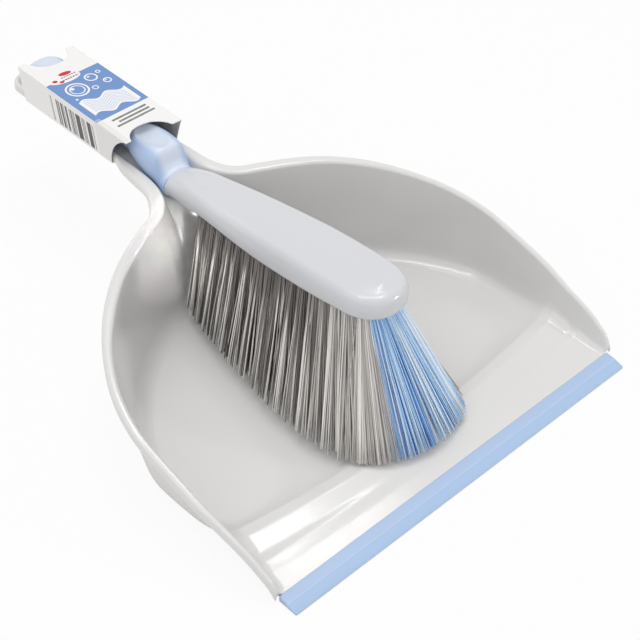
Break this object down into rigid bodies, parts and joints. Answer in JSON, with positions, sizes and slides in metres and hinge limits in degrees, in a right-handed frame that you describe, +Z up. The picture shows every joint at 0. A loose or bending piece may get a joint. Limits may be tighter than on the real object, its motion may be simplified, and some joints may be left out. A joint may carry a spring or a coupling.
{
  "type": "dust pan and brush set",
  "caption": "Wide moulded dust pan with a soft lip, and a hand brush with flared bristles lying in it, their handles held together by a printed carton sleeve.",
  "frame": {"origin": "on the table, under the middle of the flat underside of the pan's well", "axes": "+Z up, +Y from the lip towards the end of the handles, +X across the pan"},
  "size_m": [0.2448, 0.3494, 0.0876],
  "materials": {
    "pan_plastic": "pale grey moulded plastic, smooth and glossy",
    "soft_lip": "light blue soft plastic, satin",
    "head_plastic": "pale cool grey moulded plastic, glossy",
    "soft_grip": "light blue soft grip, satin",
    "grey_bristle": "warm grey extruded bristle, slightly shiny along its length",
    "blue_bristle": "blue extruded bristle, slightly shiny along its length",
    "carton": "white coated card with a blue printed panel"
  },
  "bodies": {
    "pan": {"pan": "pan_plastic", "lip": "soft_lip"},
    "brush": {"brush_head": "head_plastic", "brush_grip": "soft_grip", "tuft_01_grey": "grey_bristle", "tuft_02_grey": "grey_bristle", "tuft_03_grey": "grey_bristle", "tuft_04_grey": "grey_bristle", "tuft_05_grey": "grey_bristle", "tuft_06_grey": "grey_bristle", "tuft_07_grey": "grey_bristle", "tuft_08_grey": "grey_bristle", "tuft_09_grey": "grey_bristle", "tuft_10_grey": "grey_bristle", "tuft_11_grey": "grey_bristle", "tuft_12_grey": "grey_bristle", "tuft_13_grey": "grey_bristle", "tuft_14_grey": "grey_bristle", "tuft_15_grey": "grey_bristle", "tuft_16_grey": "grey_bristle", "tuft_17_grey": "grey_bristle", "tuft_18_grey": "grey_bristle", "tuft_19_grey": "grey_bristle", "tuft_20_grey": "grey_bristle", "tuft_21_grey": "grey_bristle", "tuft_22_grey": "grey_bristle", "tuft_23_grey": "grey_bristle", "tuft_24_grey": "grey_bristle", "tuft_25_grey": "grey_bristle", "tuft_26_grey": "grey_bristle", "tuft_27_grey": "grey_bristle", "tuft_28_grey": "grey_bristle", "tuft_29_grey": "grey_bristle", "tuft_30_grey": "grey_bristle", "tuft_31_grey": "grey_bristle", "tuft_32_grey": "grey_bristle", "tuft_33_grey": "grey_bristle", "tuft_34_grey": "grey_bristle", "tuft_35_grey": "grey_bristle", "tuft_36_grey": "grey_bristle", "tuft_37_grey": "grey_bristle", "tuft_38_grey": "grey_bristle", "tuft_39_grey": "grey_bristle", "tuft_40_grey": "grey_bristle", "tuft_41_grey": "grey_bristle", "tuft_42_grey": "grey_bristle", "tuft_43_grey": "grey_bristle", "tuft_44_grey": "grey_bristle", "tuft_45_grey": "grey_bristle", "tuft_46_blue": "blue_bristle", "tuft_47_blue": "blue_bristle", "tuft_48_blue": "blue_bristle", "tuft_49_blue": "blue_bristle"},
    "sleeve": {"carton_sleeve": "carton"}
  },
  "joints": [
    {"name": "brush", "type": "slide", "parent": "pan", "child": "brush", "axis": [0, -1, 0], "range_m": [0, 0.345]},
    {"name": "sleeve", "type": "slide", "parent": "pan", "child": "sleeve", "axis": [0, 1, 0], "range_m": [0, 0.12]}
  ]
}
